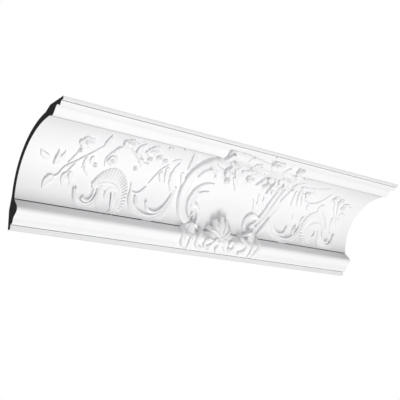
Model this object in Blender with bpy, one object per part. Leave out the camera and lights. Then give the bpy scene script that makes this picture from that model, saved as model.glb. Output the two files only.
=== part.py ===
"""Cornice moulding length with rococo carving, one hard-foam casting.

X runs along the length, the wall is the plane Y = 0 with the room at -Y, and Z is up. The origin is
the middle of the flat pad that is glued to the wall. All sizes are in metres. The carving is drawn
in millimetres on a flat sheet: X from the left end, S from the ceiling lip round the face.
"""

import math

import bpy
import bmesh
import numpy as np

MM = 0.001

# Overall sizes
LENGTH = 0.900
PROJECTION = 0.200
HEIGHT = 0.196
WALL_PAD_HEIGHT = 0.038
CEILING_PAD_DEPTH = 0.050

# Crown mouldings, from the ceiling lip towards the cove
LIP_FACE = 0.006
LIP_SOFFIT = 0.006
BEAD_DEPTH = 0.0065
BEAD_DROP = 0.0077
RETURN_DEPTH = 0.0079
RETURN_RISE = 0.0057
CYMA_DEPTH = 0.0196
CYMA_DROP = 0.0155
QUIRK_DEPTH = 0.0075
QUIRK_RISE = 0.0030

# Cove
COVE_RADIUS = 0.128
COVE_WALL = 0.013
COVE_FOOT_DEPTH = 0.0212
COVE_FOOT_HEIGHT = 0.0553
BACK_TOP_ANGLE = math.radians(6)
BACK_FOOT_ANGLE = math.radians(83)

# Base mouldings, from the wall's foot up to the cove
FILLET_DEPTH = 0.010
FILLET_HEIGHT = 0.009
STEP_DEPTH = 0.006
OGEE_DEPTH = 0.008
OGEE_HEIGHT = 0.0124
TORUS_RADIUS = 0.0093
TORUS_SET_OUT = 0.0023
TORUS_SET_UP = 0.013
TORUS_UNDERCUT = math.radians(64)

# How finely the round stretches are cut
COVE_FACETS = 10
BACK_FACETS = 7
TORUS_FACETS = 4
CYMA_FACETS = 4
OGEE_FACETS = 3
BEAD_FACETS = 2

# Carving: the sheet it is drawn on, and how it sits on the face
SHEET_LENGTH = 900.0
SHEET_GIRTH = 345.5
CARVING_AXIS = 482.0
BRIDGE_REACH = 0.014
BRIDGE_SAMPLES = 15
SLOPE_STEP = 0.002
BURIED = 0.003
LOW_RELIEF = 3.6
THIN_EDGE = 0.35
LEAF_ROOT = 0.10
LEAF_TIP = 0.985
LEAF_LEAST = 0.55
BUD_RADIUS = 9.0
FLOWER_RAISED = 1.0
PETAL_NOTCH = 0.72
NOTCH_HEIGHT = 0.66
RIB_NOTCH = 0.88
RIB_HEIGHT = 0.72

# Finish of the whole casting
PRIMER_WHITE = (0.86, 0.86, 0.86, 1.0)
PRIMER_ROUGHNESS = 0.6
SHARP_ANGLE = math.radians(30)
KEPT_FACES = 0.84

TOP_Z = HEIGHT - WALL_PAD_HEIGHT / 2

# Cross-sections of carved strokes: places across the half width, and shares of the height
RIDGE = ((-1.0, -0.25), (0.0, 1.0), (1.0, -0.25))
EDGED = ((-1.0, 0.3), (0.0, 1.0), (1.0, 0.3))
ROUND = ((-1.0, 0.30), (-0.5, 0.92), (0.5, 0.92), (1.0, 0.30))
GUTTER = ((-1.0, 0.85), (0.0, 0.5), (1.0, 0.85))


def ogee(start, depth, drop, facets):
    """Points of an S curve from start, without start itself."""
    t = np.arange(1, facets + 1) / facets
    ease = t * t * (3 - 2 * t)
    return [(start[0] + depth * u, start[1] + drop * e) for u, e in zip(t, ease)]


def crown_outline():
    """Face of the crown mouldings as (depth from the lip, drop from the ceiling)."""
    points = [(0.0, 0.0), (0.0, LIP_FACE), (LIP_SOFFIT, LIP_FACE)]
    points += ogee(points[-1], BEAD_DEPTH, BEAD_DROP, BEAD_FACETS)
    depth, drop = points[-1]
    points.append((depth + RETURN_DEPTH, drop - RETURN_RISE))
    points += ogee(points[-1], CYMA_DEPTH, CYMA_DROP, CYMA_FACETS)
    depth, drop = points[-1]
    points.append((depth + QUIRK_DEPTH, drop - QUIRK_RISE))
    return points


def base_outline():
    """Face of the base mouldings from the torus to the wall, and the torus centre."""
    foot = [(PROJECTION, HEIGHT), (PROJECTION - FILLET_DEPTH, HEIGHT)]
    foot.append((foot[-1][0], HEIGHT - FILLET_HEIGHT))
    foot.append((foot[-1][0] - STEP_DEPTH, foot[-1][1]))
    foot += ogee(foot[-1], -OGEE_DEPTH, -OGEE_HEIGHT, OGEE_FACETS)
    neck = foot[-1]
    centre = (neck[0] - TORUS_SET_OUT, neck[1] - TORUS_SET_UP)
    return foot[::-1], centre


def cove_centre(head, foot):
    """Centre of the arc of COVE_RADIUS through both points, on the room side."""
    middle = ((head[0] + foot[0]) / 2, (head[1] + foot[1]) / 2)
    run, fall = foot[0] - head[0], foot[1] - head[1]
    half = math.hypot(run, fall) / 2
    back = math.sqrt(max(COVE_RADIUS**2 - half**2, 0.0)) / (2 * half)
    return middle[0] - fall * back, middle[1] + run * back


def arc(centre, radius, first, last, facets):
    """Points at angles measured from straight up, turning towards the wall."""
    angles = np.linspace(first, last, facets + 1)
    return [(centre[0] + radius * math.sin(a), centre[1] - radius * math.cos(a)) for a in angles]


def angle_of(centre, point):
    return math.atan2(point[0] - centre[0], centre[1] - point[1])


def torus_outline(cove_foot, centre):
    """The straight slope from the cove's foot, then the round nose."""
    reach = math.dist(cove_foot, centre)
    touch = angle_of(centre, cove_foot) - math.acos(TORUS_RADIUS / reach)
    return arc(centre, TORUS_RADIUS, touch, -math.pi / 2 - TORUS_UNDERCUT, TORUS_FACETS)


def face_outline():
    """The whole face from the ceiling lip to the wall, and the cove's centre."""
    crown = crown_outline()
    base, torus_centre = base_outline()
    cove_foot = (PROJECTION - COVE_FOOT_DEPTH, HEIGHT - COVE_FOOT_HEIGHT)
    centre = cove_centre(crown[-1], cove_foot)
    first, last = angle_of(centre, crown[-1]), angle_of(centre, cove_foot)
    cove = arc(centre, COVE_RADIUS, first, last, COVE_FACETS)
    return crown + cove[1:] + torus_outline(cove_foot, torus_centre) + base, centre


def back_outline(centre):
    """The hidden side from the wall pad to the ceiling pad."""
    hollow = arc(centre, COVE_RADIUS + COVE_WALL, BACK_FOOT_ANGLE, BACK_TOP_ANGLE, BACK_FACETS)
    return [(PROJECTION, HEIGHT - WALL_PAD_HEIGHT), *hollow, (CEILING_PAD_DEPTH, 0.0)]


FACE, COVE_MIDDLE = face_outline()
FACE = np.array(FACE)
ROUND_FACE = np.concatenate([[0.0], np.cumsum(np.hypot(*np.diff(FACE, axis=0).T))])


def section_at(girth):
    """Depth and drop of the face at distances along it."""
    return np.stack([np.interp(girth, ROUND_FACE, FACE[:, k]) for k in (0, 1)], axis=-1)


def bridged(girth):
    """The face with its small mouldings smoothed away, which the carving rides on."""
    reach = np.linspace(-BRIDGE_REACH, BRIDGE_REACH, BRIDGE_SAMPLES)
    spread = np.clip(np.asarray(girth)[..., None] + reach, 0.0, ROUND_FACE[-1])
    return section_at(spread).mean(axis=-2)


def outward(girth):
    """Unit direction out of the smoothed face, as depth and drop."""
    run = bridged(girth + SLOPE_STEP) - bridged(girth - SLOPE_STEP)
    run /= np.linalg.norm(run, axis=-1, keepdims=True)
    return np.stack([-run[..., 1], run[..., 0]], axis=-1)


def world(x, section):
    """World positions from sheet X in mm and (depth, drop) in metres."""
    along = (x / SHEET_LENGTH - 0.5) * LENGTH
    return np.stack([along, section[..., 0] - PROJECTION, TOP_Z - section[..., 1]], axis=-1)


def on_face(x, s, lift):
    """World positions of sheet points raised by lift, in mm, off the smoothed face."""
    girth = s / SHEET_GIRTH * ROUND_FACE[-1]
    return world(x, bridged(girth) + outward(girth) * lift[..., None] * MM)


def under_face(x, s):
    """World positions of sheet points just inside the casting."""
    girth = s / SHEET_GIRTH * ROUND_FACE[-1]
    return world(x, section_at(girth) - outward(girth) * BURIED)


def plaster(name):
    """White primed polyurethane hard foam."""
    material = bpy.data.materials.new(name)
    material.use_nodes = True
    shader = material.node_tree.nodes["Principled BSDF"]
    shader.inputs["Base Color"].default_value = PRIMER_WHITE
    shader.inputs["Roughness"].default_value = PRIMER_ROUGHNESS
    shader.inputs["Metallic"].default_value = 0.0
    return material


def new_object(name, mesh):
    thing = bpy.data.objects.new(name, mesh)
    bpy.context.scene.collection.objects.link(thing)
    return thing


def moulding():
    """The plain moulding: the section outline pushed along the length."""
    outline = [tuple(p) for p in FACE] + back_outline(COVE_MIDDLE)
    shape = bmesh.new()
    left = [shape.verts.new((-LENGTH / 2, d - PROJECTION, TOP_Z - b)) for d, b in outline]
    end = shape.faces.new(left)
    moved = bmesh.ops.extrude_face_region(shape, geom=[end])["geom"]
    right = [item for item in moved if isinstance(item, bmesh.types.BMVert)]
    bmesh.ops.translate(shape, verts=right, vec=(LENGTH, 0.0, 0.0))
    bmesh.ops.recalc_face_normals(shape, faces=shape.faces)
    mesh = bpy.data.meshes.new("cornice_moulding")
    shape.to_mesh(mesh)
    shape.free()
    return new_object("cornice_moulding", mesh)


class Carving:
    """Closed pieces of carving that are joined to the moulding."""

    def __init__(self):
        self.collection = bpy.data.collections.new("carving")
        bpy.context.scene.collection.children.link(self.collection)
        self.mirrored = False

    def patch(self, x, s, lift, wrap=False):
        """A closed piece over a grid of sheet points. A wrapped grid runs round a middle."""
        if self.mirrored:
            x = 2 * CARVING_AXIS - x
        rows, columns = x.shape
        above, below = on_face(x, s, lift), under_face(x, s)
        corners = np.concatenate([above.reshape(-1, 3), below.reshape(-1, 3)])
        shape = bmesh.new()
        verts = [shape.verts.new(corner) for corner in corners]
        top = [verts[r * columns : (r + 1) * columns] for r in range(rows)]
        low = [verts[(rows + r) * columns : (rows + r + 1) * columns] for r in range(rows)]
        spans = columns if wrap else columns - 1
        for r in range(rows - 1):
            for c in range(spans):
                n = (c + 1) % columns
                shape.faces.new((top[r][c], top[r][n], top[r + 1][n], top[r + 1][c]))
                shape.faces.new((low[r][c], low[r + 1][c], low[r + 1][n], low[r][n]))
        rim = range(spans)
        for c in rim:
            n = (c + 1) % columns
            shape.faces.new((top[-1][c], top[-1][n], low[-1][n], low[-1][c]))
        if wrap:
            shape.faces.new(top[0])
            shape.faces.new(low[0])
        else:
            for c in rim:
                shape.faces.new((top[0][c], low[0][c], low[0][c + 1], top[0][c + 1]))
            for r in range(rows - 1):
                for c in (0, columns - 1):
                    shape.faces.new((top[r][c], top[r + 1][c], low[r + 1][c], low[r][c]))
        bmesh.ops.triangulate(shape, faces=shape.faces)
        bmesh.ops.recalc_face_normals(shape, faces=shape.faces)
        mesh = bpy.data.meshes.new("carved_piece")
        shape.to_mesh(mesh)
        shape.free()
        piece = bpy.data.objects.new("carved_piece", mesh)
        piece.hide_render = True
        piece.display_type = "WIRE"
        self.collection.objects.link(piece)

    def stroke(self, path, widths, lifts, section=RIDGE):
        """A stroke along a path: half widths and heights in mm at both ends and the middle."""
        steps = np.gradient(path, axis=0)
        steps /= np.linalg.norm(steps, axis=1, keepdims=True)
        t = np.linspace(0, 1, len(path))
        width = np.interp(t, np.linspace(0, 1, len(widths)), widths)
        lift = np.interp(t, np.linspace(0, 1, len(lifts)), lifts)
        across, share = np.array(section).T
        x = path[:, :1] - steps[:, 1:] * width[:, None] * across
        s = path[:, 1:] + steps[:, :1] * width[:, None] * across
        self.patch(x, s, lift[:, None] * share)

    def leaf(self, root, tip, bow, width, lift=LOW_RELIEF, facets=3, section=RIDGE):
        """A pointed leaf from root to tip, bowed sideways by bow mm."""
        path = bowed(root, tip, bow, facets)
        belly = np.sin(np.linspace(LEAF_ROOT, LEAF_TIP, facets + 1) ** 0.8 * math.pi)
        thick = LEAF_LEAST + (1 - LEAF_LEAST) * belly
        self.stroke(path, np.maximum(width * belly, THIN_EDGE), lift * thick, section)

    def flower(self, centre, radius, petals=5, lift=LOW_RELIEF + FLOWER_RAISED, turn=0.0, rim=-0.1):
        """An open flower: a boss, a hollow round it and round petals."""
        columns = 2 * petals
        angles = np.arange(columns) * math.pi / petals + turn
        petal = np.where(np.arange(columns) % 2 == 0, 1.0, PETAL_NOTCH)
        open_flower = radius > BUD_RADIUS
        rings = np.array([0.14, 0.36, 0.70, 1.0] if open_flower else [0.4, 1.0])[:, None]
        heights = np.array([1.0, 0.62, 0.92, rim] if open_flower else [1.0, rim])[:, None]
        outer = rings > 0.5
        reach = radius * rings * np.where(outer, petal, 1.0)
        low = np.where(outer & (petal < 1), NOTCH_HEIGHT, 1.0)
        x = centre[0] + reach * np.cos(angles)
        s = centre[1] + reach * np.sin(angles)
        self.patch(x, s, lift * heights * low, wrap=True)

    def shell(self, centre, inner, outer, first, last, ribs, lift, squash=1.0, rim=-0.2):
        """A ribbed shell between two radii, from one angle to another in degrees."""
        columns = 2 * ribs + 1
        angles = np.radians(np.linspace(first, last, columns))
        crest = np.arange(columns) % 2 == 1
        fade = np.sin(np.linspace(0.12, 0.88, columns) * math.pi) ** 0.5
        reach = np.stack([
            np.full(columns, inner),
            inner + (outer - inner) * 0.55 * fade,
            inner + (outer - inner) * fade * np.where(crest, 1.0, RIB_NOTCH),
        ])
        height = np.stack([
            np.full(columns, 0.75 * lift),
            lift * np.where(crest, 1.0, RIB_HEIGHT),
            lift * np.where(crest, rim + 0.3, rim),
        ])
        x = centre[0] + reach * np.cos(angles) * squash
        s = centre[1] - reach * np.sin(angles)
        self.patch(x, s, height)

def bowed(start, end, bow, facets):
    """Points from start to end on a parabola that stands off the chord by bow."""
    t = np.linspace(0, 1, facets + 1)[:, None]
    start, end = np.array(start, float), np.array(end, float)
    run = end - start
    side = np.array([-run[1], run[0]]) / np.linalg.norm(run)
    return start + run * t + side * bow * 4 * t * (1 - t)


def through(points, facets):
    """A smooth curve through the points, each a (x, s) pair, at even parameter steps."""
    points = np.array(points, float)
    knots = np.concatenate([[0], np.cumsum(np.linalg.norm(np.diff(points, axis=0), axis=1))])
    slopes = np.gradient(points, knots, axis=0)
    t = np.linspace(0, knots[-1], facets + 1)
    k = np.clip(np.searchsorted(knots, t, side="right") - 1, 0, len(knots) - 2)
    span = (knots[k + 1] - knots[k])[:, None]
    u = ((t - knots[k]) / span[:, 0])[:, None]
    start, end = points[k], points[k + 1]
    pull = slopes[k] * span, slopes[k + 1] * span
    return (
        start * (2 * u**3 - 3 * u**2 + 1)
        + pull[0] * (u**3 - 2 * u**2 + u)
        + end * (3 * u**2 - 2 * u**3)
        + pull[1] * (u**3 - u**2)
    )


def coil(centre, radii, angles, facets, squash=1.0):
    """A spiral: radii and angles in degrees, anticlockwise from +X as seen from the room."""
    turn = np.radians(np.linspace(*angles, facets + 1))
    radius = np.linspace(*radii, facets + 1)
    x = centre[0] + radius * np.cos(turn) * squash
    return np.stack([x, centre[1] - radius * np.sin(turn)], axis=1)


def scrollwork(carving):
    """The shell, its scrolls and the crescent, which both sides share."""
    carving.shell((190, 214), 21, 42, 196, -22, 8, 5.0)
    carving.stroke(coil((194, 220), (34, 13), (-5, -215), 8), (4.5, 5, 3), (3.5, 5.5, 5))
    carving.stroke(coil((200, 226), (22, 7), (150, -170), 7), (2.4, 3.6, 3), (2.5, 4, 4))
    carving.stroke(coil((140, 224), (27, 19), (40, -190), 8), (3, 6, 5), (3, 5, 5.5))
    carving.leaf((170, 206), (174, 255), 3, 5, 5)
    crescent = through([(344, 176), (337, 216), (313, 247), (276, 252), (250, 232), (241, 200)], 9)
    carving.stroke(crescent, (2, 7, 8, 7, 1.5), (4, 6, 6, 5, 3), GUTTER)
    carving.stroke(through([(322, 236), (300, 243), (284, 235), (281, 220)], 4), (2, 3.5, 2.5), (4, 5, 4))
    carving.leaf((256, 216), (262, 245), -3, 4)
    carving.leaf((342, 190), (319, 127), -7, 9, 7, 5, GUTTER)


def left_spray(carving):
    """Stems, leaves and flowers left of the cartouche."""
    stem, heights = (1.6, 2.2, 1.6), (2.5, 3.2, 2.5)
    carving.stroke(through([(140, 132), (110, 161), (91, 174), (76, 196), (57, 207)], 6), stem, heights)
    carving.leaf((60, 203), (47, 228), 2, 7)
    carving.stroke(bowed((94, 133), (92, 171), -6, 4), stem, heights)
    carving.flower((103, 121), 15)
    carving.stroke(bowed((102, 177), (91, 197), 2, 2), stem, heights)
    carving.leaf((91, 194), (86, 214), 2, 4)
    carving.leaf((92, 194), (102, 212), -2, 4)
    carving.leaf((108, 163), (124, 181), -3, 4.5)
    carving.leaf((110, 163), (128, 172), 2, 3.5)
    carving.stroke(through([(124, 158), (125, 178), (133, 190), (143, 185)], 4), (1.6, 1.8, 2.6), heights)
    carving.leaf((139, 134), (136, 97), 3, 5)
    carving.leaf((48, 171), (26, 165), -2, 4)
    carving.leaf((56, 187), (64, 152), -5, 7)
    carving.flower((183, 104), 16, turn=0.4)
    carving.stroke(through([(178, 118), (166, 133), (160, 148)], 3), stem, heights)
    carving.flower((171, 155), 11, turn=1.0)
    carving.stroke(through([(190, 118), (212, 132), (234, 145), (252, 148)], 4), stem, heights)
    carving.leaf((214, 130), (220, 93), -4, 6)
    carving.flower((239, 113), 16, turn=0.9)
    buds = (((268, 93), 6), ((270, 126), 7), ((284, 132), 6), ((252, 137), 6), ((230, 164), 4))
    for centre, radius in buds:
        carving.flower(centre, radius, petals=4, lift=LOW_RELIEF)
    carving.leaf((354, 140), (322, 84), 8, 6)
    carving.leaf((302, 88), (292, 72), 2, 4)
    carving.stroke(through([(296, 138), (287, 156), (280, 178), (267, 199), (248, 206)], 5), stem, heights)
    carving.leaf((290, 146), (298, 178), -4, 5)
    carving.leaf((302, 144), (311, 178), -4, 5)


def right_spray(carving):
    """Stems, leaves and flowers right of the cartouche."""
    stem, heights = (1.6, 2.2, 1.6), (2.5, 3.2, 2.5)
    carving.leaf((664, 112), (728, 104), 7, 4.5, facets=4)
    carving.flower((707, 128), 18)
    carving.leaf((690, 150), (676, 118), 4, 5)
    carving.stroke(through([(716, 150), (738, 156), (753, 144), (768, 119)], 5), stem, heights)
    carving.flower((789, 126), 11, turn=0.3)
    carving.flower((814, 127), 8, petals=4, turn=0.8)
    carving.flower((843, 150), 12)
    carving.stroke(through([(790, 133), (811, 152), (827, 164), (838, 186)], 5), stem, heights)
    carving.leaf((771, 164), (780, 182), -2, 4)
    carving.leaf((664, 140), (674, 172), -4, 5)
    carving.leaf((838, 178), (862, 200), 4, 5)
    carving.leaf((846, 168), (876, 184), -3, 5)
    carving.leaf((832, 182), (824, 212), -3, 5)


def frame_left(carving):
    """The tall left scroll of the cartouche with its volute and inner leaf."""
    bead = through([(398, 50), (377, 84), (365, 122), (361, 165), (362, 204), (374, 237), (392, 250)], 10)
    carving.stroke(bead, (6, 10, 9, 8), (20, 17, 12, 10), EDGED)
    carving.stroke(coil((403, 232), (20, 7), (-130, 190), 8), (7, 6, 5), (10, 11, 12), EDGED)
    inner_leaf = through([(386, 226), (382, 196), (394, 172), (418, 158), (434, 158)], 6)
    carving.stroke(inner_leaf, (4, 7, 6, 2), (7, 10, 9, 5), GUTTER)
    hook = through([(372, 158), (384, 138), (404, 134), (420, 146)], 4)
    carving.stroke(hook, (3, 5, 3), (7, 9, 6), EDGED)
    carving.leaf((398, 222), (404, 176), -4, 5, 8, section=EDGED)
    carving.leaf((380, 96), (430, 118), 8, 9, 14, 4, EDGED)


def frame_right(carving):
    """The slanting right side of the cartouche: three leaf ribs and a volute."""
    for shift, width, lift in ((0, 6, 10), (13, 5, 9), (-14, 4, 8)):
        low = (602 + shift * 0.7, 206)
        end = (584 + shift * 0.2, 238)
        rib = through([(630 + shift, 126), (618 + shift, 165), low, end], 6)
        carving.stroke(rib, (3, width, 4), (7, lift, 8), EDGED)
    carving.stroke(coil((566, 231), (20, 7), (-50, -350), 8), (6, 6, 5), (9, 10, 11), EDGED)
    carving.leaf((586, 206), (566, 164), 5, 6, 7, section=EDGED)
    carving.leaf((640, 132), (660, 96), -5, 8, 9, section=EDGED)
    carving.leaf((592, 196), (590, 158), -4, 6, 7, section=EDGED)


def garland(carving):
    """The bunch of flowers and leaves over the crown mouldings, on a low mound."""
    carving.stroke(bowed((396, 40), (618, 100), 6, 6), (14, 20, 12), (5, 5, 4), EDGED)
    carving.flower((402, 40), 19, lift=17, rim=0.4)
    carving.flower((440, 84), 19, lift=17, turn=0.5, rim=0.4)
    carving.flower((492, 44), 16, lift=13, turn=0.2, rim=0.4)
    carving.flower((560, 78), 20, lift=17, turn=0.7, rim=0.4)
    carving.flower((594, 108), 15, lift=14, rim=0.4)
    for root, tip, bow, width, lift in (
        ((408, 52), (424, 22), 4, 8, 13),
        ((420, 60), (462, 34), -5, 9, 12),
        ((436, 96), (456, 136), 5, 9, 12),
        ((450, 104), (478, 152), -5, 9, 11),
        ((462, 110), (500, 170), -6, 9, 9),
        ((448, 84), (510, 72), 8, 9, 12),
        ((470, 80), (532, 118), 7, 9, 11),
        ((500, 70), (512, 10), 5, 8, 8),
        ((540, 66), (526, 30), -4, 8, 11),
        ((556, 64), (568, 30), 4, 8, 10),
        ((572, 88), (604, 54), 6, 8, 11),
        ((584, 96), (630, 84), 5, 8, 11),
        ((560, 96), (540, 140), -5, 8, 11),
        ((578, 108), (574, 154), -5, 8, 11),
        ((592, 116), (602, 158), 5, 8, 10),
        ((602, 116), (632, 140), -5, 7, 10),
        ((392, 62), (372, 76), 4, 6, 15),
        ((500, 92), (506, 134), 6, 8, 9),
        ((520, 104), (560, 126), 6, 8, 10),
    ):
        carving.leaf(root, tip, bow, width, lift, 3, GUTTER)


def palmette(carving):
    """The ribbed shell on the base mouldings with a scroll at each side of its foot."""
    carving.stroke(bowed((476, 324), (476, 232), 0, 3), (20, 24, 20), (8, 9, 6), EDGED)
    carving.shell((476, 292), 15, 66, 198, -18, 7, 17, squash=0.62, rim=0.4)
    carving.leaf((476, 284), (476, 236), 0, 7, 20, 4, EDGED)
    for side in (-1, 1):
        scroll = coil((476 + side * 23, 296), (15, 5), (90, 90 - side * 300), 7)
        carving.stroke(scroll, (4, 5, 4), (12, 13, 13), EDGED)
        carving.leaf((476 + side * 4, 296), (476 + side * 13, 323), side * 3, 7, 12, section=EDGED)
        carving.leaf((476 + side * 24, 262), (476 + side * 34, 236), -side * 4, 6, 13, section=EDGED)
    carving.leaf((476, 288), (476, 326), 0, 8, 13, 4, GUTTER)


def foot(carving):
    """The leafy foot of the cartouche over the base mouldings, the same on both sides."""
    carving.leaf((398, 244), (404, 322), 0, 19, 7, 3, EDGED)
    outer_leaf = through([(384, 244), (390, 270), (384, 298), (377, 324)], 5)
    carving.stroke(outer_leaf, (9, 10, 8, 3), (11, 12, 10, 7), GUTTER)
    inner_leaf = through([(402, 246), (402, 270), (414, 296), (434, 316)], 5)
    carving.stroke(inner_leaf, (9, 9, 8, 3), (11, 12, 10, 7), GUTTER)
    carving.leaf((420, 286), (423, 252), 4, 7, 11, section=EDGED)
    carving.leaf((396, 290), (402, 330), 3, 7, 10, section=EDGED)


def build():
    for thing in list(bpy.data.objects):
        bpy.data.objects.remove(thing, do_unlink=True)
    cornice = moulding()
    cornice.data.materials.append(plaster("primed_hard_foam"))
    carving = Carving()
    scrollwork(carving)
    foot(carving)
    carving.mirrored = True
    scrollwork(carving)
    foot(carving)
    carving.mirrored = False
    left_spray(carving)
    right_spray(carving)
    frame_left(carving)
    frame_right(carving)
    garland(carving)
    palmette(carving)
    join = cornice.modifiers.new("carving", "BOOLEAN")
    join.operation = "UNION"
    join.operand_type = "COLLECTION"
    join.collection = carving.collection
    join.solver = "EXACT"
    thin = cornice.modifiers.new("fewer_faces", "DECIMATE")
    thin.ratio = KEPT_FACES
    thin.use_collapse_triangulate = True
    cornice.data.set_sharp_from_angle(angle=SHARP_ANGLE)


build()
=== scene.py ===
"""Looks of a cove cornice length: a white primed foam casting with rococo carving.

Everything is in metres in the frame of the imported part: X along the length, the back plane at Y = 0
with the open side at -Y, and Z up. The carving is drawn in millimetres on a flat sheet, X from the
left end and S from the top lip round the face, and the sheet is wrapped round the moulding.
"""

import logging
import math
from dataclasses import dataclass
from enum import Enum, IntEnum

import bpy
import numpy as np
from mathutils import Matrix, Vector
from mathutils.geometry import tessellate_polygon


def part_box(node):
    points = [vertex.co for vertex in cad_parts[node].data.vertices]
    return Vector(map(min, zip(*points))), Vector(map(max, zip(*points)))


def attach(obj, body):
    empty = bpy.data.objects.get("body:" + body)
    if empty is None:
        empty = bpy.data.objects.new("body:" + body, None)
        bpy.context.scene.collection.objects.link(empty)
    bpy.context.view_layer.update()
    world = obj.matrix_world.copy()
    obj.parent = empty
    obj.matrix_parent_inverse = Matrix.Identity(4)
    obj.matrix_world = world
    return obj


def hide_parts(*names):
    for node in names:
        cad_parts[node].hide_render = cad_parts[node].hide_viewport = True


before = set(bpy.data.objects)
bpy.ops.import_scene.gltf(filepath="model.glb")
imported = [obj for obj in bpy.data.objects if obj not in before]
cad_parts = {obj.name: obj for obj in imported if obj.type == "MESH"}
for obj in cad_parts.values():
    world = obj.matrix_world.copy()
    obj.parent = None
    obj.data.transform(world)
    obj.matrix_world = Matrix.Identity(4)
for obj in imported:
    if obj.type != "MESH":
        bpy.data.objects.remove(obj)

LOG = logging.getLogger("cornice")
NODE = "cornice_moulding"
BODY = "root"
MM = 0.001
FINISH_IOR = 1.47
# Sockets of the colour mix node: its two colours, and its result.
MIX_A, MIX_B, MIX_RESULT = 6, 7, 2
# Sheet X that the scrollwork and the feet are mirrored about.
MIRROR_AXIS = 482.0

Point = tuple[float, float]
Place = tuple[float, float, float]
Values = tuple[float, ...]
# Centre, radius and height of a small dome.
Knob = tuple[Point, float, float]


def linear(hex_colour: str) -> tuple[float, float, float, float]:
    """Turns an sRGB hex colour into linear light.

    A share up to 0.04045 is divided by 12.92. Above it, 0.055 is added, the sum is divided by 1.055
    and raised to the power 2.4.

    Args:
        hex_colour: Six hex digits after a number sign.

    Returns:
        Red, green, blue and alpha, each from 0 to 1.
    """
    shares = [int(hex_colour[k : k + 2], 16) / 255 for k in (1, 3, 5)]
    red, green, blue = ((c / 12.92) if c <= 0.04045 else ((c + 0.055) / 1.055) ** 2.4 for c in shares)
    return red, green, blue, 1.0


def placed(name: str, data: bpy.types.ID) -> bpy.types.Object:
    """Puts data into the scene as an object.

    Args:
        name: The object's name.
        data: Its mesh, camera or lamp.

    Returns:
        The new object, at the origin.
    """
    thing = bpy.data.objects.new(name, data)
    bpy.context.scene.collection.objects.link(thing)
    return thing


def add_node(tree: bpy.types.NodeTree, kind: str, inputs: dict, **settings: object) -> bpy.types.Node:
    """Adds one shader node with its settings and links.

    Args:
        tree: The node tree that it goes into.
        kind: Blender's name of the node type.
        inputs: Socket name or number to a value, or to the output socket that feeds it.
        **settings: The node's own properties.

    Returns:
        The new node.
    """
    node = tree.nodes.new(kind)
    for name, value in settings.items():
        setattr(node, name, value)
    for name, value in inputs.items():
        if isinstance(value, bpy.types.NodeSocket):
            tree.links.new(value, node.inputs[name])
        else:
            node.inputs[name].default_value = value
    return node


@dataclass(frozen=True)
class MattFinish:
    """A matt finish: two close tones, a fine surface and its sheen."""

    name: str
    tone: str
    second_tone: str
    mottle_mm: float
    grain_mm: float
    grain_height_mm: float
    roughness: float
    roughness_spread: float

    def material(self) -> bpy.types.Material:
        """Makes the material: tones mixed by slow noise, roughness and bump by fine noise.

        Returns:
            The material, on Object coordinates.
        """
        made = bpy.data.materials.new(self.name)
        made.use_nodes = True
        tree = made.node_tree
        shader = tree.nodes["Principled BSDF"]
        place = add_node(tree, "ShaderNodeTexCoord", {}).outputs["Object"]
        slow = add_node(tree, "ShaderNodeTexNoise",
                        {"Vector": place, "Scale": 1000 / self.mottle_mm, "Detail": 3.0, "Roughness": 0.55})
        tones = add_node(tree, "ShaderNodeMix",
                         {"Factor": slow.outputs["Fac"], MIX_A: linear(self.tone),
                          MIX_B: linear(self.second_tone)}, data_type="RGBA")
        fine = add_node(tree, "ShaderNodeTexNoise",
                        {"Vector": place, "Scale": 1000 / self.grain_mm, "Detail": 2.0, "Roughness": 0.6})
        rough = add_node(tree, "ShaderNodeMapRange",
                         {"Value": fine.outputs["Fac"], "To Min": self.roughness - self.roughness_spread,
                          "To Max": self.roughness + self.roughness_spread})
        bump = add_node(tree, "ShaderNodeBump",
                        {"Height": fine.outputs["Fac"], "Strength": 1.0,
                         "Distance": self.grain_height_mm * MM})
        tree.links.new(tones.outputs[MIX_RESULT], shader.inputs["Base Color"])
        tree.links.new(rough.outputs["Result"], shader.inputs["Roughness"])
        tree.links.new(bump.outputs["Normal"], shader.inputs["Normal"])
        shader.inputs["IOR"].default_value = FINISH_IOR
        return made


# Factory primer rolled on moulded foam: an even matt white with a faint orange peel, drawn coarser
# than the real 0.3 mm so that it shows.
PRIMED = MattFinish("primed_polyurethane_foam", "#E6E6E7", "#E2E2E3", 90.0, 1.6, 0.05, 0.55, 0.06)
# The casting's own skin on the hidden side, unpainted: slightly warmer, duller and more mottled.
BARE_SKIN = MattFinish("bare_foam_skin", "#E9E7E1", "#DDDAD2", 35.0, 2.2, 0.12, 0.8, 0.05)
# The saw cut through the dense foam: a flat dark grey with open cells, drawn coarser than the real
# 0.2 mm so that they show. The same dark grey is painted into the grooves as painted shade: dark lines of
# shadow.
SAWN_END_AND_GROOVE_SHADE = MattFinish("sawn_end_and_painted_groove_shade", "#3C3D3F", "#484A4C", 18.0, 0.9, 0.15, 0.9, 0.05)
# The studio floor far below the part: plain and pale, so that nothing on it draws the eye.
FLOOR = MattFinish("pale_studio_floor", "#F2F2F2", "#EDEDED", 800.0, 12.0, 0.1, 0.8, 0.02)


class Finish(IntEnum):
    """Places of the casting's finishes in its list of materials."""

    FACE = 0
    BACK = 1
    # The sawn ends, and the grooves painted dark grey as painted shade.
    SAWN_END_AND_GROOVE_SHADE = 2


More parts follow.
